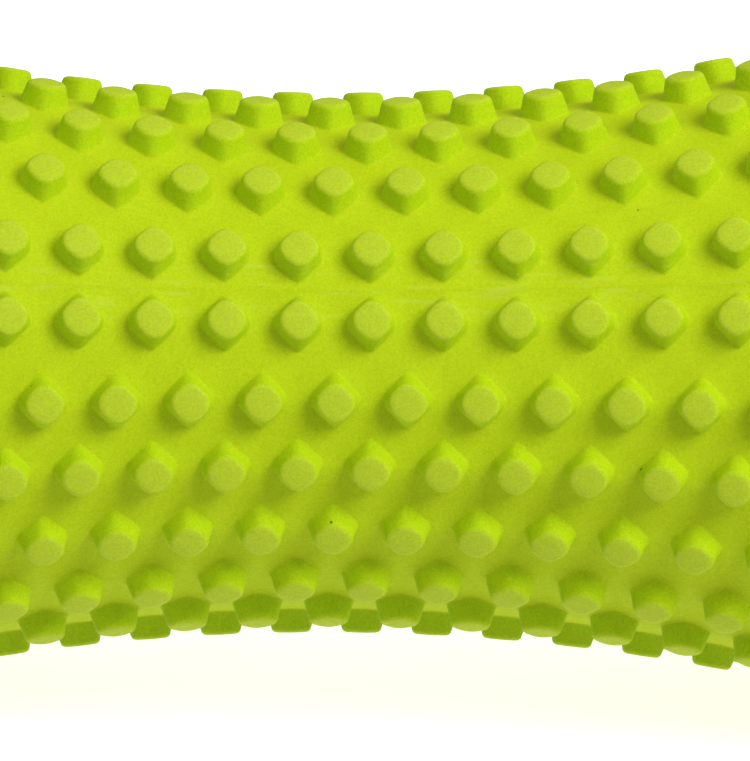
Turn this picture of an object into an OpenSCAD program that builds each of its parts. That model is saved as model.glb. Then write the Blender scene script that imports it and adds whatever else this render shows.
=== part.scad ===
// Foot massage roller: a knobbed elastomer sleeve on a hollow, waisted two-part core.
// The roller's axis is X, +Z is up and the origin is the middle of the axis.
// The lowest row of knobs points straight down, so the roller lies still on a floor.

/* [Saddle] */
// Length of the sleeve from end face to end face
sleeve_l = 166; // [150:1:182]
// Diameter of the sleeve's skin at the waist, without the knobs
waist_d = 56.3; // [52:0.1:62]
// Radius of the arc that hollows the sides
saddle_r = 250; // [230:1:300]
// Thickness of the sleeve under the knobs
sleeve_wall = 3; // [2.4:0.1:3.4]

/* [Knobs] */
// Rows of knobs in each half of the sleeve's mould
rows_per_half = 11; // [9:2:11]
// Distance between neighbouring knobs along a row
knob_pitch = 8.08; // [7.6:0.02:9]
// Corner-to-corner size of a knob's square base
knob_base = 6.3; // [5:0.1:6.6]
// Diameter of a knob's round flat top
knob_top = 4.3; // [3:0.1:4.6]
// Height of a knob above the skin
knob_h = 2.6; // [1.6:0.1:3.2]

/* [Core] */
// Wall thickness of the two core halves
core_wall = 3; // [2.4:0.1:3.2]
// Radius of the round mouth that takes an end cap
mouth_r = 32.6; // [31:0.1:33]
// Length of the lap joint where the halves meet
lap_l = 4; // [3:0.5:6]
// Stiffening ribs inside each half
ribs = 6; // [3:1:9]
// Height of a rib above the core's inner wall
rib_h = 4; // [2:0.5:5]

/* [Screws] */
// Screws that hold the halves together
screws = 3; // [3:1:4]
// Radius of the circle that the screws stand on
screw_circle_r = 13; // [10:0.5:15]
// Length of a screw under its head
screw_l = 14; // [12:1:18]

/* [End caps] */
// Thickness of a cap's rim, which clamps the sleeve's lip
cap_rim_t = 1.4; // [1.2:0.1:1.8]
// Length of the cap's skirt inside the core
skirt_l = 9; // [8:0.5:10]
// Slots that divide the skirt into snap fingers
skirt_slots = 6; // [4:1:8]

/* [Hidden] */
LEFT = -1;
RIGHT = 1;

// Rows of knobs
rows = 2 * rows_per_half;
row_step = 360 / rows;
top_sides = 8;

// Saddle arc: its centre lies outside the roller, this far from the axis
arc_centre_r = waist_d / 2 + saddle_r;
waist_fit = 0.1;
core_arc_r = saddle_r + sleeve_wall + waist_fit;
core_bore_arc_r = core_arc_r + core_wall;

// Ends of the sleeve: rounded edge, rebate for the cap's rim and thin lip under it
edge_r = 2.2;
edge_steps = 2;
lip_t = 2;
thin_lip_t = 1.2;
lip_r = 34;
rebate_r = 37.2;
core_end_x = sleeve_l / 2 - lip_t;
bore_steps = 6;
// Knob cells end at this multiple of the pitch on each side of the waist
last_line = floor((sleeve_l / 2 - 0.9 * edge_r) / (knob_pitch / 2)) / 2;

// Smoothness of round parts and of the saddle's long arcs
$fn = 96;
arc_sides = 720;

// Ribs stop short of the end caps' skirts
rib_t = 1.6;
rib_end_x = 66;

// Lap joint
lap_wall = 1.5;
lap_play = 0.05;
lap_r = arc_centre_r - core_arc_r - lap_wall;
spigot_wall = 1.2;
spigot_root = 2;
web_t = 3;

// Screws: the underside of their heads lies on the left web
screw_r = 1.45;
screw_play = 0.05;
screw_hole_r = 1.8;
screw_head_r = 3.3;
screw_head_h = 2.4;
screw_point_l = 2;
drive_r = 1.4;
drive_depth = 1.4;
head_x = lap_l - lap_play - web_t;
boss_r = 4;
boss_floor_t = 1.5;
pilot_end_x = head_x + screw_l + 0.3;

// End caps: the rim lies in the sleeve's rebate and the skirt in the core's mouth
cap_play = 0.2;
cap_r = rebate_r - cap_play;
cap_seat_x = core_end_x + thin_lip_t;
cap_face_x = cap_seat_x + cap_rim_t;
skirt_r = mouth_r - cap_play;
skirt_wall = 1.8;
skirt_end_x = core_end_x - skirt_l;
plate_t = 2;
dish_depth = 2.5;
dish_r = 25;
hub_r = 7;
dish_rings = 4;
ring_w = 1.2;
ring_gap = 4;
ring_h = 0.5;
bead_h = 0.4;
bead_w = 1.6;
bead_inset = 5;
slot_w = 2.4;
slot_l = 6;

// ---- Sleeve ----

// Slope of the saddle at a place along the axis
function slope_at(x) = asin(x / saddle_r);

// Distance from the axis to an arc about the saddle's centre
function arc_at(x, arc_r) = arc_centre_r - sqrt(arc_r * arc_r - x * x);

// Point at a place along the axis, a distance from it and an angle up from -Y
function around(x, r, angle) = [x, -r * cos(angle), r * sin(angle)];

// Angle of a line between rows, or of a row itself, counted up from the lowest row
function row_angle(line) = ((line + rows) % rows) * row_step - 90;

// Point on the skin, both places counted in pitches
function skin_point(column, line) =
    let (x = column * knob_pitch)
    around(x, arc_at(x, saddle_r), row_angle(line));

// Neighbouring rows are staggered, and the pattern starts again in the other half of the mould
function row_offset(row) = ((row + 3) % rows_per_half) % 2 == 0 ? 0.5 : 0;
function row_end(row) = floor(last_line - 0.5 - row_offset(row)) + row_offset(row);

// Point of a knob in the plane that stands a height above the skin, square to it
function knob_point(column, row, reach, turn, height) =
    let (
        x = column * knob_pitch,
        slope = slope_at(x),
        angle = row_angle(row),
        along = [cos(slope), -sin(slope) * cos(angle), sin(slope) * sin(angle)],
        across = [0, sin(angle), cos(angle)],
        normal = [-sin(slope), -cos(slope) * cos(angle), cos(slope) * sin(angle)]
    )
    skin_point(column, row) + reach * (cos(turn) * along + sin(turn) * across) + height * normal;

// Corner of a knob's base, set on the curved skin
function base_corner(column, row, turn) =
    let (
        p = knob_point(column, row, knob_base / 2, turn, 0),
        r = arc_at(p.x, saddle_r) / norm([p.y, p.z])
    )
    [p.x, p.y * r, p.z * r];

// Four triangles of skin above (side 1) or below (side -1) a knob's base
function skin_flaps(column, row, side) =
    let (
        left = skin_point(column - 0.5, row + side / 2),
        middle = skin_point(column, row + side / 2),
        right = skin_point(column + 0.5, row + side / 2),
        tip = base_corner(column, row, side * 90),
        west = base_corner(column, row, 180),
        east = base_corner(column, row, 0),
        faces = [
            [left, middle, tip],
            [left, tip, west],
            [middle, right, tip],
            [right, east, tip]
        ]
    )
    [for (f = faces) side > 0 ? f : [f[2], f[1], f[0]]];

// Triangles of skin at the two ends of a knob's base
function skin_ends(column, row) = [
    [
        base_corner(column, row, 0),
        skin_point(column + 0.5, row + 0.5),
        skin_point(column + 0.5, row - 0.5)
    ],
    [
        base_corner(column, row, 180),
        skin_point(column - 0.5, row - 0.5),
        skin_point(column - 0.5, row + 0.5)
    ]
];

// Quarter of a knob's side, from two corners of its square base to its round top
function knob_quarter(column, row, turn) =
    let (
        corner = base_corner(column, row, turn),
        next_corner = base_corner(column, row, (turn + 90) % 360),
        top = [for (t = [0, 45, 90]) knob_point(column, row, knob_top / 2, (turn + t) % 360, knob_h)]
    )
    [
        [corner, top[0], top[1]],
        [corner, top[1], next_corner],
        [next_corner, top[1], top[2]]
    ];

function knob_lid(column, row) =
    [for (i = [top_sides - 1 : -1 : 0]) knob_point(column, row, knob_top / 2, i * 360 / top_sides, knob_h)];

function knob_cell(column, row) = concat(
    skin_flaps(column, row, 1),
    skin_flaps(column, row, -1),
    skin_ends(column, row),
    [for (turn = [0, 90, 180, 270]) each knob_quarter(column, row, turn)],
    [knob_lid(column, row)]
);

// Plain skin between two places on a row
function plain_cell(from, to, row) = [[
    skin_point(from, row + 0.5),
    skin_point(to, row + 0.5),
    skin_point(to, row - 0.5),
    skin_point(from, row - 0.5)
]];

function row_faces(row) =
    let (end = row_end(row), spare = last_line - end - 0.5)
    concat(
        [for (column = [-end : end]) each knob_cell(column, row)],
        spare > 0 ? plain_cell(end + 0.5, last_line, row) : [],
        spare > 0 ? plain_cell(-last_line, -end - 0.5, row) : []
    );

// Section of one end as [x, r] points, from the skin round the lip to the core's shoulder
function end_section() =
    let (
        skin_x = last_line * knob_pitch,
        skin_r = arc_at(skin_x, saddle_r),
        face_x = sleeve_l / 2
    )
    concat(
        [[skin_x, skin_r]],
        [for (i = [1 : edge_steps])
            let (t = i * 90 / edge_steps)
            [skin_x + (face_x - skin_x) * sin(t), skin_r - edge_r * (1 - cos(t))]],
        [
            [face_x, rebate_r],
            [core_end_x + thin_lip_t, rebate_r],
            [core_end_x + thin_lip_t, lip_r],
            [core_end_x, lip_r]
        ]
    );

// Section of the bore from the right shoulder to the left one
// Its corners stand off the axis so that the flats between them clear the core
function bore_section() =
    [for (i = [0 : bore_steps])
        let (x = core_end_x * (1 - 2 * i / bore_steps))
        [x, arc_at(x, saddle_r + sleeve_wall) / cos(row_step / 2)]];

function reversed(list) = [for (i = [len(list) - 1 : -1 : 0]) list[i]];
function mirrored(section) = [for (p = reversed(section)) [-p[0], p[1]]];

// Faces of revolution between neighbouring points of a section
function swept_faces(section) =
    [for (i = [0 : len(section) - 2], row = [0 : rows - 1])
        let (
            a = section[i],
            b = section[i + 1],
            low = row_angle(row - 0.5),
            high = row_angle(row + 0.5)
        )
        [
            around(a[0], a[1], high),
            around(b[0], b[1], high),
            around(b[0], b[1], low),
            around(a[0], a[1], low)
        ]];

// A closed solid from faces that are each a list of points
module solid_of(faces) {
    starts = [for (i = 0, n = 0; i < len(faces); n = n + len(faces[i]), i = i + 1) n];
    polyhedron(
        points = [for (f = faces) each f],
        faces = [for (i = [0 : len(faces) - 1]) [for (k = [0 : len(faces[i]) - 1]) starts[i] + k]],
        convexity = 10
    );
}

module massage_sleeve() {
    section = concat(end_section(), bore_section(), mirrored(end_section()));
    color("yellowgreen")
        solid_of(concat(
            [for (row = [0 : rows - 1]) each row_faces(row)],
            swept_faces(section)
        ));
}

// ---- Core ----

// Lays a shape that stands on its inner end along X, its outer end at the given side
module facing(side) {
    if (side == LEFT) {
        mirror([1, 0, 0]) rotate([0, 90, 0]) children();
    } else {
        rotate([0, 90, 0]) children();
    }
}

// Disc of the saddle's arc, in the plane of a section: x is the distance from the axis
module arc_disc(arc_r) {
    translate([arc_centre_r, 0])
        circle(r = arc_r, $fn = arc_sides);
}

module core_section() {
    difference() {
        intersection() {
            union() {
                arc_disc(core_bore_arc_r);
                translate([mouth_r, 0])
                    square([rebate_r, core_end_x]);
            }
            square([2 * rebate_r, core_end_x]);
        }
        arc_disc(core_arc_r);
    }
}

module rib_section() {
    intersection() {
        difference() {
            arc_disc(core_bore_arc_r + rib_h);
            arc_disc(core_bore_arc_r - core_wall / 2);
        }
        translate([0, lap_l + web_t / 2])
            square([2 * rebate_r, rib_end_x - lap_l - web_t / 2]);
    }
}

// Ring-shaped groove that an end cap's bead snaps into
module bead_groove() {
    translate([0, 0, core_end_x - bead_inset - bead_w / 2 - cap_play])
        cylinder(r = mouth_r + bead_h + cap_play, h = bead_w + 2 * cap_play);
}

// Flared wall of one half with its ribs, standing on the waist
module core_bell() {
    difference() {
        rotate_extrude() core_section();
        bead_groove();
    }
    for (i = [0 : ribs - 1])
        rotate([90, 0, (i + 0.5) * 360 / ribs])
            linear_extrude(rib_t, center = true)
                rib_section();
}

// Places its children at each screw
module at_screws() {
    for (i = [0 : screws - 1])
        rotate([0, 0, i * 360 / screws])
            translate([screw_circle_r, 0, 0])
                children();
}

module core_left() {
    color("yellowgreen")
        facing(LEFT) {
            core_bell();
            // Spigot with the web that closes it
            difference() {
                translate([0, 0, lap_play - lap_l])
                    cylinder(r = lap_r - lap_play, h = lap_l + spigot_root);
                translate([0, 0, web_t + lap_play - lap_l])
                    cylinder(r = lap_r - lap_play - spigot_wall, h = lap_l + spigot_root);
                at_screws()
                    translate([0, 0, -2 * lap_l])
                        cylinder(r = screw_hole_r, h = 2 * lap_l);
            }
        }
}

module core_right() {
    color("yellowgreen")
        facing(RIGHT)
            difference() {
                union() {
                    core_bell();
                    translate([0, 0, lap_l])
                        cylinder(r = lap_r, h = web_t);
                    at_screws()
                        translate([0, 0, lap_l])
                            cylinder(r = boss_r, h = pilot_end_x + boss_floor_t - lap_l);
                }
                // Socket of the lap joint
                translate([0, 0, -lap_l])
                    cylinder(r = lap_r, h = 2 * lap_l);
                at_screws()
                    cylinder(r = screw_r + screw_play, h = pilot_end_x);
            }
}

// ---- Screws ----

// Self-tapping screw with its head's underside at the origin and its point at +Z
module core_screw() {
    difference() {
        union() {
            translate([0, 0, -screw_head_h])
                cylinder(r1 = screw_head_r - screw_head_h / 4, r2 = screw_head_r, h = screw_head_h);
            cylinder(r = screw_r, h = screw_l - screw_point_l);
            translate([0, 0, screw_l - screw_point_l])
                cylinder(r1 = screw_r, r2 = screw_r / 3, h = screw_point_l);
        }
        // Cross recess
        for (turn = [0, 90])
            rotate([0, 0, turn])
                translate([-drive_r, -drive_r / 4, -screw_head_h - 1])
                    cube([2 * drive_r, drive_r / 2, drive_depth + 1]);
    }
}

module core_screws() {
    color("silver")
        facing(RIGHT)
            at_screws()
                translate([0, 0, head_x])
                    core_screw();
}

// ---- End caps ----

// Section of a cap as [distance from the axis, place along it] points
module cap_section() {
    polygon([
        [0, cap_face_x - dish_depth - plate_t],
        [0, cap_face_x - dish_depth],
        [dish_r - dish_depth, cap_face_x - dish_depth],
        [dish_r, cap_face_x],
        [cap_r - cap_rim_t / 2, cap_face_x],
        [cap_r, cap_face_x - cap_rim_t / 2],
        [cap_r, cap_seat_x],
        [skirt_r, cap_seat_x],
        [skirt_r, skirt_end_x],
        [skirt_r - skirt_wall, skirt_end_x],
        [skirt_r - skirt_wall, cap_face_x - plate_t],
        [dish_r + plate_t / 2, cap_face_x - plate_t],
        [dish_r - dish_depth + plate_t / 2, cap_face_x - dish_depth - plate_t]
    ]);
}

// Snap bead round the skirt: a rounded ridge that stands proud of it
module bead_section() {
    translate([skirt_r, core_end_x - bead_inset])
        polygon([[-bead_h, -bead_w / 2], [bead_h, -bead_w / 6], [bead_h, bead_w / 6], [-bead_h, bead_w / 2]]);
}

module end_cap() {
    difference() {
        union() {
            rotate_extrude() cap_section();
            rotate_extrude() bead_section();
        }
        for (i = [0 : skirt_slots - 1])
            rotate([0, 0, i * 360 / skirt_slots])
                translate([0, -slot_w / 2, skirt_end_x - 1])
                    cube([skirt_r + 1, slot_w, slot_l + 1]);
    }
    // Raised rings in the dish
    for (i = [1 : dish_rings])
        translate([0, 0, cap_face_x - dish_depth])
            difference() {
                cylinder(r = hub_r + (i - 1) * ring_gap, h = ring_h);
                translate([0, 0, -1])
                    cylinder(r = hub_r + (i - 1) * ring_gap - ring_w, h = ring_h + 2);
            }
}

module end_cap_left() {
    color("olivedrab") facing(LEFT) end_cap();
}

module end_cap_right() {
    color("olivedrab") facing(RIGHT) end_cap();
}

massage_sleeve();
core_left();
core_right();
core_screws();
end_cap_left();
end_cap_right();
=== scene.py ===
"""Foot massage roller: a knobbed lime sleeve on a hollow waisted core with snap-in end caps.

Everything is in metres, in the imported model's own frame: the axis is X and +Z is up.
"""
import math

import bmesh
import bpy
import numpy as np
from mathutils import Matrix, Vector


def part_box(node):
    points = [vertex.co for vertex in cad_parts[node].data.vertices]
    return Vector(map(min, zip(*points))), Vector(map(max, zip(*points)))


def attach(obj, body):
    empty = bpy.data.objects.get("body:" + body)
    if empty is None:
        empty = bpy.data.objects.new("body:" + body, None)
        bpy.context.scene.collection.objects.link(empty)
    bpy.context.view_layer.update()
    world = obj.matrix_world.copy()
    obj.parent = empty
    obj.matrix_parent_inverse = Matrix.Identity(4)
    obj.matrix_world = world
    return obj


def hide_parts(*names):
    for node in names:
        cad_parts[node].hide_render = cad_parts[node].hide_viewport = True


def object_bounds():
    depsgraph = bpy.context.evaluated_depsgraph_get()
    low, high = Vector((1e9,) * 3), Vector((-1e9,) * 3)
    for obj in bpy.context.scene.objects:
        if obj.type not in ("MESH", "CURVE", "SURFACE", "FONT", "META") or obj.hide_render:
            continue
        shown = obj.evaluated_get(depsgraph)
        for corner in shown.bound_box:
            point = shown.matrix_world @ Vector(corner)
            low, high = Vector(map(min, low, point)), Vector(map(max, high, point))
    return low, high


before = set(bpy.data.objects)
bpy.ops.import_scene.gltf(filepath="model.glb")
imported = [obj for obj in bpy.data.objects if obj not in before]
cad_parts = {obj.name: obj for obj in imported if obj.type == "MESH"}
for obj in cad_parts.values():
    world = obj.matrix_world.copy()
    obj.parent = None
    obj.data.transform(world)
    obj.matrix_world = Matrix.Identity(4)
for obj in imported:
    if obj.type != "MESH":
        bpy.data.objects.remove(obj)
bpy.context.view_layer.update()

MM = 0.001

# ---- The sleeve's dimensions, the same as the CAD model's ----
KNOB_ROWS = 22
ROWS_PER_HALF = 11
PITCH = 8.08 * MM
WAIST_R = 28.15 * MM
SADDLE_R = 250 * MM
SLEEVE_WALL = 3 * MM
KNOB_H = 2.6 * MM
# Pitches from the middle to where the edge's rounding begins
LAST_LINE = 10
EDGE_R = 2.2 * MM
LIP_T = 2 * MM
THIN_LIP_T = 1.2 * MM
LIP_R = 34 * MM
REBATE_R = 37.2 * MM

# ---- The knobs' finer shape, which the CAD model leaves out ----
# Reach of the base's corners along the roller and round it, and of its sides
KNOB_BASE_AXIAL = 2.8 * MM
KNOB_BASE_ROUND = 3.16 * MM
KNOB_BASE_FLAT = 2.38 * MM
# Reach of the shoulder's corners and of its sides, before the top edge is rounded
KNOB_TOP_R = 2.28 * MM
KNOB_TOP_FLAT = 2.12 * MM
KNOB_EDGE_R = 0.6 * MM
KNOB_FOOT_R = 0.2 * MM
KNOB_CROWN = 0.025 * MM
# Degrees by which rows on the front stray from even spacing, as measured from the photo
ROW_STRAY = {3: -0.4, 4: 0.35, 5: 0.5, 6: -0.6, 7: 0.25, 8: -0.35, 9: 0.2}

ROW_STEP = 2 * math.pi / KNOB_ROWS
ARC_CENTRE_R = WAIST_R + SADDLE_R
SLEEVE_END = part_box("massage_sleeve")[1].x

# ---- How finely the sleeve is meshed, and how near two points merge ----
SIDE_STEPS = 6
TURN = 4 * SIDE_STEPS
BORE_STEPS = 16
EDGE_STEPS = 5
WELD_DISTANCE = 0.0005 * MM

# ---- Parting line: the hair of flash where the two mould halves met ----
# The rows just below the two lines
PARTING_ROWS = (7, 18)
FLASH_HALF_ANGLE = math.radians(0.22)
FLASH_H = 0.045 * MM


def arc_at(x, arc_r):
    """Distance from the axis to an arc about the saddle's centre."""
    return ARC_CENTRE_R - np.sqrt(arc_r * arc_r - x * x)


def around(x, r, angle):
    """Points at places along the axis, distances from it and angles up from -Y."""
    x, r, angle = np.broadcast_arrays(x, r, angle)
    return np.stack([x, -r * np.cos(angle), r * np.sin(angle)], axis=-1)


def skin(x, angle):
    """Points on the sleeve's skin, between the knobs."""
    return around(x, arc_at(x, SADDLE_R), angle)


def height_over_skin(p):
    """Distance from points to the skin, outwards."""
    r = np.hypot(p[..., 1], p[..., 2])
    return SADDLE_R - np.hypot(p[..., 0], ARC_CENTRE_R - r)


def row_angle(line):
    """Angle of a row, or of a line between two rows, counted up from the lowest row."""
    return line * ROW_STEP - math.pi / 2


def row_offset(row):
    """Stagger of a row in pitches. Rows alternate, starting afresh above each parting line."""
    rows_above_parting = (row - PARTING_ROWS[0] - 1) % ROWS_PER_HALF
    return 0.5 if rows_above_parting % 2 == 0 else 0.0


def edge_angle(row, side):
    """Angle of a row's edge, which stops just short of the flash on a parting line."""
    on_parting = (row if side > 0 else row - 1) % KNOB_ROWS in PARTING_ROWS
    return row_angle(row + side / 2) - side * (FLASH_HALF_ANGLE if on_parting else 0.0)


class Shell:
    """Collects grids of points with their faces, then welds them into one closed mesh."""

    def __init__(self):
        self.points = []
        self.faces = []
        self.count = 0

    def add_grid(self, grid, closed=False):
        """Adds grids of points [..., rings, ring points, 3]; closed joins each ring's ends."""
        grid = np.asarray(grid)
        grid = grid.reshape((-1,) + grid.shape[-3:])
        blocks, rings, n = grid.shape[:3]
        index = self.count + np.arange(blocks * rings * n).reshape(blocks, rings, n)
        after = np.roll(index, -1, axis=2) if closed else index[:, :, 1:]
        here = index if closed else index[:, :, :-1]
        quads = [here[:, :-1], after[:, :-1], after[:, 1:], here[:, 1:]]
        self.faces.append(np.stack(quads, axis=-1).reshape(-1, 4))
        self.points.append(grid.reshape(-1, 3))
        self.count += blocks * rings * n

    def build(self, name):
        """Welds what was collected into a new object."""
        mesh = bpy.data.meshes.new(name)
        points, faces = np.concatenate(self.points), np.concatenate(self.faces)
        mesh.from_pydata(points.tolist(), [], faces.tolist())
        weld(mesh)
        return add_object(name, mesh)


def add_object(name, data):
    """Puts a new object in the scene."""
    added = bpy.data.objects.new(name, data)
    bpy.context.scene.collection.objects.link(added)
    return added


def weld(mesh):
    """Merges the grids' shared points, which makes one closed shell, and faces it outwards."""
    work = bmesh.new()
    work.from_mesh(mesh)
    bmesh.ops.remove_doubles(work, verts=work.verts, dist=WELD_DISTANCE)
    bmesh.ops.recalc_face_normals(work, faces=work.faces)
    work.to_mesh(mesh)
    work.free()


def smooth(piece, sharp_degrees):
    """Shades a piece smooth, except over edges that turn by more than an angle."""
    piece.data.shade_smooth()
    piece.data.set_sharp_from_angle(angle=math.radians(sharp_degrees))


# ---- Sleeve ----

def turn_angles(count):
    """Even angles round one turn."""
    return np.arange(count) * 2 * math.pi / count


def cell_border():
    """Points round a square from -1 to 1, as places along the roller and places round it."""
    def wave(quarter_turns_late):
        """1 for a quarter of the turn, down to -1 over the next, and back up over the last."""
        steps = (np.arange(TURN) - quarter_turns_late * SIDE_STEPS + TURN / 2) % TURN - TURN / 2
        return np.clip(2 - np.abs(steps) / (SIDE_STEPS / 2), -1, 1)

    return wave(0), wave(1)


def knob_reach(level):
    """Distance from a knob's axis to its side round one turn, at a level from 0 (base) to 1 (top).

    A square on its corner with rounded corners. Below, the two corners that point round the roller
    are sharper than the two that point along it.
    """
    turn = turn_angles(TURN)
    points_round = np.abs(np.sin(turn)) > np.abs(np.cos(turn))
    base = np.where(points_round, KNOB_BASE_ROUND, KNOB_BASE_AXIAL)
    corner = base + (KNOB_TOP_R - base) * level
    flat = KNOB_BASE_FLAT + (KNOB_TOP_FLAT - KNOB_BASE_FLAT) * level
    inner = (corner - flat) / (1 - math.sqrt(0.5))
    rounding = corner - inner
    off_corner = np.abs((turn + math.pi / 4) % (math.pi / 2) - math.pi / 4)
    arc_end = np.arctan2(rounding, inner * math.sqrt(2) + rounding)
    half_chord = np.sqrt(np.maximum(rounding ** 2 - (inner * np.sin(off_corner)) ** 2, 0))
    on_arc = inner * np.cos(off_corner) + half_chord
    return np.where(off_corner < arc_end, on_arc, flat / np.cos(math.pi / 4 - off_corner))


def knob_rings():
    """Rings of a knob from its foot over its top, each as (reach round one turn, height)."""
    base, top = knob_reach(0), knob_reach(1)
    # The fillet at the foot
    rings = [
        (base + KNOB_FOOT_R, 0.0),
        (base + 0.3 * KNOB_FOOT_R, 0.25 * KNOB_FOOT_R),
        (knob_reach(0.05), 0.9 * KNOB_FOOT_R),
    ]
    # The rounded edge of the top
    for turned in np.radians((5, 30, 60, 90)):
        inwards = KNOB_EDGE_R * (1 - np.cos(turned))
        downwards = KNOB_EDGE_R * (1 - np.sin(turned))
        rings.append((top - inwards, KNOB_H - downwards))
    # The slightly crowned top, closed at its middle
    rings.append((top * 0.35, KNOB_H + 0.8 * KNOB_CROWN))
    rings.append((top * 0.0, KNOB_H + KNOB_CROWN))
    return rings


def knob_cells(row):
    """One row's knobs with the skin round each, as blocks of closed rings.

    Also gives the distance from the middle to the last knob, in pitches.
    """
    end = math.floor(LAST_LINE - 0.5 - row_offset(row)) + row_offset(row)
    x0 = np.arange(-end, end + 0.5) * PITCH
    angle0 = row_angle(row) + math.radians(ROW_STRAY.get(row, 0.0))
    slope = np.arcsin(x0 / SADDLE_R)[:, None]
    centre = skin(x0, angle0)[:, None, :]
    cos_a, sin_a = math.cos(angle0), math.sin(angle0)
    along = np.stack([np.cos(slope), -np.sin(slope) * cos_a, np.sin(slope) * sin_a], axis=-1)
    across = np.broadcast_to([0.0, sin_a, cos_a], along.shape)
    normal = np.stack([-np.sin(slope), -np.cos(slope) * cos_a, np.cos(slope) * sin_a], axis=-1)

    def knob_ring(reach, height):
        turn = turn_angles(TURN)
        u = (reach * np.cos(turn))[None, :, None]
        v = (reach * np.sin(turn))[None, :, None]
        flat = centre + u * along + v * across
        # Low rings settle on the curved skin, and the top stays flat
        settle = height_over_skin(flat)[..., None] * (1 - height / KNOB_H)
        return flat + (height - settle) * normal

    axial, side = cell_border()
    border_angle = row_angle(row + side / 2)
    border_angle = np.where(side >= 1, edge_angle(row, 1), border_angle)
    border_angle = np.where(side <= -1, edge_angle(row, -1), border_angle)
    border_x = x0[:, None] + axial * PITCH / 2
    rings = [knob_ring(reach, height) for reach, height in knob_rings()]
    rings.insert(0, skin(border_x, border_angle))
    return np.stack(rings, axis=1), end


def row_side_angles(row):
    """Angles along a row's short end, from its low edge to its high edge."""
    inner = row_angle(row) + np.arange(1 - SIDE_STEPS // 2, SIDE_STEPS // 2) * ROW_STEP / SIDE_STEPS
    return np.concatenate([[edge_angle(row, -1)], inner, [edge_angle(row, 1)]])


def add_plain_skin(shell, row, start, stop):
    """Skin without knobs, between two places along a row counted in pitches."""
    steps = round((stop - start) * SIDE_STEPS)
    x = np.linspace(start, stop, steps + 1) * PITCH
    angles = row_side_angles(row)
    shell.add_grid(skin(x[None, :], angles[:, None])[None])


def add_flash(shell, row):
    """The raised hair of the parting line above a row."""
    n = 2 * LAST_LINE * SIDE_STEPS
    x = np.linspace(-LAST_LINE, LAST_LINE, n + 1) * PITCH
    low = skin(x, edge_angle(row, 1))
    high = skin(x, edge_angle(row + 1, -1))
    crest = around(x, arc_at(x, SADDLE_R) + FLASH_H, row_angle(row + 0.5))
    shell.add_grid(np.stack([low, crest, high])[None])


def ring_angles():
    """Angles of the points round a full ring, and 1 where a point lies on the flash's crest."""
    angles, crest = [], []
    for row in range(KNOB_ROWS):
        side = row_side_angles(row)
        parted = row in PARTING_ROWS
        angles.extend(side if parted else side[:-1])
        crest.extend([0.0] * (len(side) if parted else len(side) - 1))
        if parted:
            angles.append(row_angle(row + 0.5))
            crest.append(1.0)
    return np.array(angles), np.array(crest)


def end_section():
    """Half section of an end as (x, r): round its edge, down its face and over the lip."""
    skin_x = LAST_LINE * PITCH
    skin_r = arc_at(skin_x, SADDLE_R)
    soft = 0.25 * MM
    section = [(skin_x, skin_r)]
    for turned in np.linspace(0, math.pi / 2, EDGE_STEPS + 1)[1:]:
        x = skin_x + (SLEEVE_END - skin_x) * math.sin(turned)
        section.append((x, skin_r - EDGE_R * (1 - math.cos(turned))))
    shoulder_x = SLEEVE_END - LIP_T
    ledge_x = shoulder_x + THIN_LIP_T
    section += [
        (SLEEVE_END, REBATE_R + 2 * soft),
        (SLEEVE_END, REBATE_R + soft),
        (SLEEVE_END - 0.3 * soft, REBATE_R + 0.3 * soft),
        (SLEEVE_END - soft, REBATE_R),
        (ledge_x + soft, REBATE_R),
        (ledge_x, REBATE_R - soft),
        (ledge_x, LIP_R + soft),
        (ledge_x - soft, LIP_R),
        (shoulder_x, LIP_R),
    ]
    return section


def bore_section():
    """Half section of the sleeve's inside, from the right end to the left."""
    shoulder_x = SLEEVE_END - LIP_T
    x = np.linspace(shoulder_x, -shoulder_x, BORE_STEPS + 1)
    return list(zip(x, arc_at(x, SADDLE_R + SLEEVE_WALL)))


def add_ends_and_bore(shell):
    """Both ends and the inside, turned round the axis, with the flash over the rounded edges."""
    end = end_section()
    section = np.array(end + bore_section() + [(-x, r) for x, r in reversed(end)])
    angles, crest = ring_angles()
    x, r = section[:, :1], section[:, 1:]
    on_skin = (r > REBATE_R + 1 * MM) & (np.abs(x) > SLEEVE_END - 2 * EDGE_R)
    raised = r + FLASH_H * crest[None, :] * on_skin
    shell.add_grid(around(x, raised, angles[None, :])[None], closed=True)


def make_sleeve():
    """The sleeve: cells of skin with a knob each, plain skin past them, flash, ends and bore."""
    shell = Shell()
    for row in range(KNOB_ROWS):
        cells, end = knob_cells(row)
        shell.add_grid(cells, closed=True)
        if end + 0.5 < LAST_LINE:
            add_plain_skin(shell, row, end + 0.5, LAST_LINE)
            add_plain_skin(shell, row, -LAST_LINE, -end - 0.5)
    for row in PARTING_ROWS:
        add_flash(shell, row)
    add_ends_and_bore(shell)
    sleeve = shell.build("sleeve_with_knobs")
    smooth(sleeve, sharp_degrees=70)
    return sleeve


# ---- End caps ----

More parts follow.
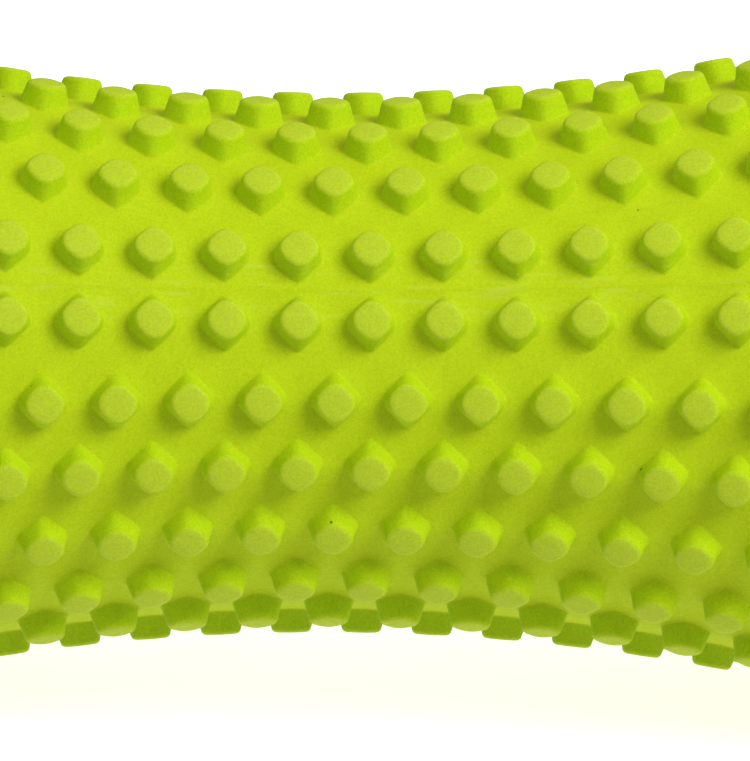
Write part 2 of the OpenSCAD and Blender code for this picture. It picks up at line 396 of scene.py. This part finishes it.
CAP_R = 37 * MM
CAP_RIM_T = 1.4 * MM
CAP_SEAT_X = SLEEVE_END - LIP_T + THIN_LIP_T
CAP_FACE_X = CAP_SEAT_X + CAP_RIM_T
SKIRT_R = 32.4 * MM
SKIRT_WALL = 1.8 * MM
SKIRT_END_X = 72 * MM
PLATE_T = 2 * MM
DISH_DEPTH = 2.5 * MM
DISH_R = 25 * MM
RING_RADII = [19 * MM, 15 * MM, 11 * MM, 7 * MM]
RING_W = 1.2 * MM
RING_H = 0.5 * MM
BEAD_X = 76 * MM
BEAD_H = 0.4 * MM
BEAD_W = 1.6 * MM
GATE_MARK_R = 1.9 * MM
GATE_MARK_DEPTH = 0.35 * MM
SLOTS = 6
SLOT_W = 2.4 * MM
SLOT_L = 6 * MM
SLOT_RUN_OUT = 2 * MM
CAP_TURN_STEPS = 144


def rounded(corners, steps=4):
    """Points of an outline of (x, y, radius), with an arc for each corner that has a radius."""
    points = []
    for i, (x, y, radius) in enumerate(corners):
        here = Vector((x, y))
        if radius == 0:
            points.append(here)
            continue
        before = (Vector(corners[i - 1][:2]) - here).normalized()
        after = (Vector(corners[i + 1][:2]) - here).normalized()
        half = before.angle(after) / 2
        centre = here + (before + after).normalized() * radius / math.sin(half)
        start = here + before * radius / math.tan(half) - centre
        stop = here + after * radius / math.tan(half) - centre
        swing = start.angle(stop)
        for k in range(steps + 1):
            a, b = math.sin(swing * (1 - k / steps)), math.sin(swing * k / steps)
            points.append(centre + (start * a + stop * b) / math.sin(swing))
    return points


def cap_outline():
    """Half section of a cap as (r, x, corner radius), from the middle of its back to its front's."""
    floor_x = CAP_FACE_X - DISH_DEPTH
    back_x = floor_x - PLATE_T
    inner_r = SKIRT_R - SKIRT_WALL
    outline = [
        (0, back_x, 0),
        (inner_r - 5.5 * MM, back_x, 0.8 * MM),
        (inner_r - 4 * MM, CAP_FACE_X - PLATE_T, 0.8 * MM),
        (inner_r, CAP_FACE_X - PLATE_T, 0.6 * MM),
        (inner_r, SKIRT_END_X, 0.4 * MM),
        (SKIRT_R, SKIRT_END_X, 0.5 * MM),
        (SKIRT_R, BEAD_X - BEAD_W / 2, 0),
        (SKIRT_R + BEAD_H, BEAD_X - BEAD_W / 6, 0.2 * MM),
        (SKIRT_R + BEAD_H, BEAD_X + BEAD_W / 6, 0.2 * MM),
        (SKIRT_R, BEAD_X + BEAD_W / 2, 0),
        (SKIRT_R, CAP_SEAT_X, 0.2 * MM),
        (CAP_R, CAP_SEAT_X, 0.15 * MM),
        (CAP_R, CAP_FACE_X, 0.65 * MM),
        (DISH_R, CAP_FACE_X, 0.8 * MM),
        (DISH_R - DISH_DEPTH, floor_x, 0.8 * MM),
    ]
    draft = 0.2 * MM
    for r in RING_RADII:
        outline += [
            (r, floor_x, 0.15 * MM),
            (r - draft, floor_x + RING_H, 0.18 * MM),
            (r - RING_W + draft, floor_x + RING_H, 0.18 * MM),
            (r - RING_W, floor_x, 0.15 * MM),
        ]
    outline += [
        (GATE_MARK_R, floor_x, 0.3 * MM),
        (GATE_MARK_R - 0.4 * MM, floor_x - GATE_MARK_DEPTH, 0.2 * MM),
        (0.55 * MM, floor_x - GATE_MARK_DEPTH, 0.05 * MM),
        (0.45 * MM, floor_x - 0.1 * MM, 0.1 * MM),
        (0, floor_x - 0.08 * MM, 0),
    ]
    return outline


def make_cap(name, side):
    """One cap, turned about the axis and slotted. Its side is -1 on the left and 1 on the right."""
    outline = np.array([tuple(p) for p in rounded(cap_outline())])
    angles = turn_angles(CAP_TURN_STEPS)
    shell = Shell()
    turned = around(side * outline[:, 1:], outline[:, :1], angles[None, :])
    shell.add_grid(turned[None], closed=True)
    cap = shell.build(name)
    cutter = make_slot_cutter(side)
    cut = cap.modifiers.new("slots", "BOOLEAN")
    cut.object = cutter
    cut.operation = "DIFFERENCE"
    cut.solver = "EXACT"
    evaluated = cap.evaluated_get(bpy.context.evaluated_depsgraph_get())
    cap.data = bpy.data.meshes.new_from_object(evaluated)
    cap.modifiers.clear()
    bpy.data.objects.remove(cutter)
    smooth(cap, sharp_degrees=40)
    return cap


def make_slot_cutter(side):
    """Bars across the skirt that leave snap fingers between them."""
    mesh = bpy.data.meshes.new("slot_cutter")
    work = bmesh.new()
    middle_x = side * (SKIRT_END_X + (SLOT_L - SLOT_RUN_OUT) / 2)
    for i in range(SLOTS // 2):
        bar = bmesh.ops.create_cube(work, size=1)["verts"]
        place = (
            Matrix.Rotation(i * 2 * math.pi / SLOTS, 4, "X")
            @ Matrix.Translation((middle_x, 0, 0))
            @ Matrix.Diagonal((SLOT_L + SLOT_RUN_OUT, SLOT_W, 2.2 * SKIRT_R, 1))
        )
        bmesh.ops.transform(work, matrix=place, verts=bar)
    work.to_mesh(mesh)
    work.free()
    return add_object("slot_cutter", mesh)


# ---- Materials, with their colours as linear (r, g, b) ----

SKIN_LIME = (0.468, 0.605, 0.006)
SKIN_LIME_PALE = (0.488, 0.63, 0.008)
# Painted shade: the deeper green of the knobs' shaded walls and feet
WALL_PAINTED_SHADE_LIME = (0.35, 0.58, 0.001)
# Painted sheen: the greyer tone of the knobs' tops, where they reflect the bright room
TOP_PAINTED_SHEEN_LIME = (0.455, 0.57, 0.04)
MOTTLE_LIME = (0.35, 0.51, 0.002)
SPECKLE_LIME = (0.60, 0.76, 0.008)
STREAK_LIME = (0.56, 0.68, 0.06)
DUST_GREY = (0.06, 0.06, 0.02)
CAP_GREEN = (0.27, 0.42, 0.012)
CAP_GREEN_PALE = (0.31, 0.46, 0.02)
SCUFF_GREEN = (0.42, 0.55, 0.10)
CORE_GREEN = (0.42, 0.51, 0.08)
CORE_GREEN_PALE = (0.48, 0.58, 0.12)
ZINC_BLUISH = (0.55, 0.56, 0.58)
ZINC_PALE = (0.66, 0.66, 0.64)
PAPER = (0.86, 0.86, 0.86)
PAPER_PALE = (0.9, 0.9, 0.9)
# The values that most of a noise lies between
NOISE_RANGE = (0.3, 0.7)
# Streaks reach so far from the parting line, and are drawn out by 1 / STREAK_SQUEEZE along it
STREAK_REACH = 6 * MM
STREAK_SQUEEZE = 0.12
# Cells in a metre, some of which show a speck, and a speck's soft edge and core in cells
SPECK_CELLS = 110.0
SPECK_EDGE = 0.028
SPECK_CORE = 0.016


def add(tree, kind, inputs=None, **settings):
    """Adds a node. An input given as a socket is linked, and any other is set as a value."""
    node = tree.nodes.new("ShaderNode" + kind)
    for key, value in settings.items():
        setattr(node, key, value)
    for key, value in (inputs or {}).items():
        if isinstance(value, bpy.types.NodeSocket):
            tree.links.new(value, node.inputs[key])
        else:
            node.inputs[key].default_value = value
    return node


def noise(tree, where, scale, detail, roughness):
    """Noise of so many features in a metre."""
    values = {"Vector": where, "Scale": scale, "Detail": detail, "Roughness": roughness}
    return add(tree, "TexNoise", values).outputs["Fac"]


def spread(tree, value, low, high, to_low=0.0, to_high=1.0):
    """Maps low..high smoothly to to_low..to_high, and holds the ends."""
    values = {"Value": value, "From Min": low, "From Max": high, "To Min": to_low, "To Max": to_high}
    return add(tree, "MapRange", values, interpolation_type="SMOOTHSTEP").outputs["Result"]


def maths(tree, operation, a, b=0.0, c=0.0):
    """The result of a sum on sockets or values."""
    return add(tree, "Math", {0: a, 1: b, 2: c}, operation=operation).outputs[0]


def hypotenuse(tree, a, b):
    """The length of (a, b)."""
    squares = [maths(tree, "MULTIPLY", side, side) for side in (a, b)]
    return maths(tree, "SQRT", maths(tree, "ADD", *squares))


def blend_colours(tree, amount, a, b):
    """Mixes two colours, each a socket or (r, g, b)."""
    mix = add(tree, "Mix", data_type="RGBA")
    for index, value in ((0, amount), (6, a), (7, b)):
        if isinstance(value, bpy.types.NodeSocket):
            tree.links.new(value, mix.inputs[index])
        else:
            mix.inputs[index].default_value = (*value, 1) if index else value
    return mix.outputs[2]


def bumps(tree, layers):
    """Chains bump nodes for (height socket, depth in metres) pairs."""
    normal = None
    for height, depth in layers:
        values = {"Height": height, "Distance": depth, "Strength": 1.0}
        if normal:
            values["Normal"] = normal
        normal = add(tree, "Bump", values).outputs["Normal"]
    return normal


def new_material(name):
    """A material with its node tree, its shader and the piece's own coordinates."""
    material = bpy.data.materials.new(name)
    material.use_nodes = True
    tree = material.node_tree
    tree.nodes.clear()
    shader = add(tree, "BsdfPrincipled")
    output = add(tree, "OutputMaterial")
    tree.links.new(shader.outputs["BSDF"], output.inputs["Surface"])
    where = add(tree, "TexCoord").outputs["Object"]
    return material, tree, shader, where


def join(tree, socket, shader, name):
    """Links a socket to one of the shader's inputs."""
    tree.links.new(socket, shader.inputs[name])


def flow_streaks(tree, where, y, z):
    """Strength of the pale streaks drawn out along the roller close to its parting line."""
    angle = row_angle(PARTING_ROWS[0] + 0.5)
    from_line = maths(tree, "MULTIPLY", z, math.cos(angle))
    from_line = maths(tree, "MULTIPLY_ADD", y, math.sin(angle), from_line)
    near_line = spread(tree, maths(tree, "ABSOLUTE", from_line), STREAK_REACH, 0.0)
    drawn_out = add(tree, "Mapping", {"Vector": where, "Scale": (STREAK_SQUEEZE, 1, 1)}).outputs[0]
    streaks = spread(tree, noise(tree, drawn_out, scale=1100, detail=3, roughness=0.6), 0.5, 0.75)
    return maths(tree, "MULTIPLY", near_line, streaks)


def specks(tree, where):
    """Strength of the few dark specks of dust moulded into the surface."""
    cells = add(tree, "TexVoronoi", {"Vector": where, "Scale": SPECK_CELLS})
    return spread(tree, cells.outputs["Distance"], SPECK_EDGE, SPECK_CORE)


def make_elastomer():
    """Soft-touch moulded elastomer: matt lime with a fine grain.

    The knobs' walls carry painted shade, a deeper green than the skin, and their tops a painted sheen
    that makes them a little greyer.
    """
    material, tree, shader, where = new_material("lime_elastomer")
    axes = add(tree, "SeparateXYZ", {0: where})
    x, y, z = axes.outputs
    drop = maths(tree, "SUBTRACT", ARC_CENTRE_R, hypotenuse(tree, y, z))
    height = maths(tree, "SUBTRACT", SADDLE_R, hypotenuse(tree, x, drop))
    # The knobs' tops, which get a painted sheen
    painted_sheen_mask = spread(tree, height, KNOB_H - 0.3 * MM, KNOB_H - 0.08 * MM)
    # The knobs' walls and feet, which get painted shade
    painted_shade_mask = spread(tree, height, 0.05 * MM, 0.45 * MM)
    speckle = spread(tree, noise(tree, where, scale=4200, detail=3, roughness=0.7), *NOISE_RANGE)
    mottle = spread(tree, noise(tree, where, scale=1400, detail=3, roughness=0.6), *NOISE_RANGE)
    patches = noise(tree, where, scale=45, detail=3, roughness=0.5)
    pitted = noise(tree, where, scale=3300, detail=3, roughness=0.65)
    colour = blend_colours(tree, spread(tree, patches, *NOISE_RANGE), SKIN_LIME, SKIN_LIME_PALE)
    tints = (
        # Painted shade on the walls
        (painted_shade_mask, 0.6, WALL_PAINTED_SHADE_LIME),
        # Painted sheen on the tops
        (painted_sheen_mask, 0.9, TOP_PAINTED_SHEEN_LIME),
        (mottle, 0.3, MOTTLE_LIME),
        (speckle, 0.6, SPECKLE_LIME),
        (flow_streaks(tree, where, y, z), 0.75, STREAK_LIME),
        (specks(tree, where), 0.8, DUST_GREY),
    )
    for mask, strength, tint in tints:
        colour = blend_colours(tree, maths(tree, "MULTIPLY", mask, strength), colour, tint)
    join(tree, colour, shader, "Base Color")
    join(tree, spread(tree, mottle, 0.0, 1.0, 0.7, 0.82), shader, "Roughness")
    shader.inputs["Specular IOR Level"].default_value = 0.08
    shader.inputs["Subsurface Weight"].default_value = 0.35
    shader.inputs["Subsurface Radius"].default_value = (0.5, 1.1, 0.1)
    shader.inputs["Subsurface Scale"].default_value = 0.8 * MM
    normal = bumps(tree, [(patches, 0.15 * MM), (mottle, 0.006 * MM), (pitted, 0.02 * MM)])
    join(tree, normal, shader, "Normal")
    return material


def make_cap_plastic():
    """Fine matt moulded plastic, a shade deeper than the sleeve."""
    material, tree, shader, where = new_material("cap_plastic")
    grain = noise(tree, where, scale=5200, detail=2, roughness=0.6)
    flow = noise(tree, where, scale=60, detail=4, roughness=0.6)
    scuffs = noise(tree, where, scale=700, detail=4, roughness=0.7)
    colour = blend_colours(tree, spread(tree, flow, *NOISE_RANGE), CAP_GREEN, CAP_GREEN_PALE)
    colour = blend_colours(tree, spread(tree, scuffs, 0.62, 0.8, 0.0, 0.3), colour, SCUFF_GREEN)
    join(tree, colour, shader, "Base Color")
    join(tree, spread(tree, scuffs, *NOISE_RANGE, 0.38, 0.52), shader, "Roughness")
    shader.inputs["Specular IOR Level"].default_value = 0.45
    join(tree, bumps(tree, [(flow, 0.05 * MM), (grain, 0.012 * MM)]), shader, "Normal")
    return material


def make_core_plastic():
    """Glossier moulded plastic with flow marks."""
    material, tree, shader, where = new_material("core_plastic")
    flow = noise(tree, where, scale=40, detail=5, roughness=0.65)
    grain = noise(tree, where, scale=2500, detail=2, roughness=0.5)
    colour = blend_colours(tree, spread(tree, flow, *NOISE_RANGE), CORE_GREEN, CORE_GREEN_PALE)
    join(tree, colour, shader, "Base Color")
    join(tree, spread(tree, flow, *NOISE_RANGE, 0.32, 0.45), shader, "Roughness")
    join(tree, bumps(tree, [(flow, 0.08 * MM), (grain, 0.006 * MM)]), shader, "Normal")
    return material


def make_screw_steel():
    """Zinc-plated steel with fine turning marks."""
    material, tree, shader, where = new_material("screw_steel")
    stretched = add(tree, "Mapping", {"Vector": where, "Scale": (8, 1, 1)}).outputs[0]
    marks = noise(tree, stretched, scale=1500, detail=3, roughness=0.6)
    bloom = noise(tree, where, scale=400, detail=4, roughness=0.6)
    colour = blend_colours(tree, spread(tree, bloom, *NOISE_RANGE), ZINC_BLUISH, ZINC_PALE)
    join(tree, colour, shader, "Base Color")
    shader.inputs["Metallic"].default_value = 1.0
    join(tree, spread(tree, marks, *NOISE_RANGE, 0.25, 0.42), shader, "Roughness")
    join(tree, bumps(tree, [(marks, 0.01 * MM)]), shader, "Normal")
    return material


def dress(piece, material):
    """Gives a piece one material."""
    piece.data.materials.clear()
    piece.data.materials.append(material)


# ---- Assembly ----

elastomer = make_elastomer()
cap_plastic = make_cap_plastic()
core_plastic = make_core_plastic()
screw_steel = make_screw_steel()

sleeve = make_sleeve()
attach(sleeve, "root")
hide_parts("massage_sleeve")
dress(sleeve, elastomer)

for side_name, side in (("left", -1), ("right", 1)):
    cap = make_cap("cap_" + side_name, side)
    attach(cap, "root")
    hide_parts("end_cap_" + side_name)
    dress(cap, cap_plastic)
    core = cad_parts["core_" + side_name]
    dress(core, core_plastic)
dress(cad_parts["core_screws"], screw_steel)


# ---- Studio ----

FLOOR_HALF_SIZE = 6.0
FLOOR_GLOW = 0.75
WORLD_STRENGTH = 0.48
CAMERA_TARGET = (5.46 * MM, -0.76 * MM, -1.91 * MM)
CAMERA_DISTANCE = 909 * MM
CAMERA_AZIMUTH = math.radians(2.2)
CAMERA_ELEVATION = math.radians(16.18)
CAMERA_ROLL = math.radians(0.79)
CAMERA_LENS = 376.96


def make_floor():
    """A broad pale sheet, lit a little from below like a light table."""
    mesh = bpy.data.meshes.new("floor")
    half = FLOOR_HALF_SIZE
    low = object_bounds()[0].z
    corners = [(-half, -half, low), (half, -half, low), (half, half, low), (-half, half, low)]
    mesh.from_pydata(corners, [], [(0, 1, 2, 3)])
    floor = add_object("floor", mesh)
    material, tree, shader, where = new_material("floor_paper")
    tone = spread(tree, noise(tree, where, scale=60, detail=4, roughness=0.6), *NOISE_RANGE)
    join(tree, blend_colours(tree, tone, PAPER, PAPER_PALE), shader, "Base Color")
    shader.inputs["Roughness"].default_value = 0.9
    shader.inputs["Specular IOR Level"].default_value = 0.0
    shader.inputs["Emission Color"].default_value = (1, 1, 1, 1)
    shader.inputs["Emission Strength"].default_value = FLOOR_GLOW
    dress(floor, material)
    floor.visible_diffuse = False
    floor.visible_shadow = False


def add_panel(name, azimuth, elevation, distance, size, power):
    """A soft square light that looks at the middle, from degrees right of -Y and degrees up."""
    light = bpy.data.lights.new(name, "AREA")
    light.size = size
    light.energy = power
    panel = add_object(name, light)
    turn, lift = math.radians(azimuth), math.radians(elevation)
    level = math.cos(lift)
    toward = Vector((math.sin(turn) * level, -math.cos(turn) * level, math.sin(lift)))
    panel.location = toward * distance
    panel.rotation_euler = toward.to_track_quat("Z", "Y").to_euler()
    panel.visible_camera = False


def set_world(strength):
    """Even white light from all round."""
    world = bpy.data.worlds.new("studio")
    bpy.context.scene.world = world
    world.use_nodes = True
    background = world.node_tree.nodes["Background"]
    background.inputs["Color"].default_value = (1, 1, 1, 1)
    background.inputs["Strength"].default_value = strength


def add_camera():
    """A long lens in front, a little above and left of the middle, turned by a fraction of a degree."""
    camera = add_object("camera", bpy.data.cameras.new("camera"))
    level = math.cos(CAMERA_ELEVATION)
    back = Vector((
        -math.sin(CAMERA_AZIMUTH) * level,
        -math.cos(CAMERA_AZIMUTH) * level,
        math.sin(CAMERA_ELEVATION),
    ))
    look = back.to_track_quat("Z", "Y")
    camera.rotation_mode = "QUATERNION"
    camera.rotation_quaternion = look @ Matrix.Rotation(CAMERA_ROLL, 3, "Z").to_quaternion()
    camera.location = Vector(CAMERA_TARGET) + back * CAMERA_DISTANCE
    camera.data.lens = CAMERA_LENS
    camera.data.clip_start = 0.05
    camera.data.clip_end = 50
    bpy.context.scene.camera = camera


make_floor()
add_panel("key", azimuth=42.8, elevation=38, distance=1.0, size=0.5, power=7.2)
add_panel("underlight", azimuth=0, elevation=-90, distance=1.0, size=1.2, power=4.8)
set_world(WORLD_STRENGTH)
add_camera()
bpy.context.scene.view_settings.view_transform = "Standard"
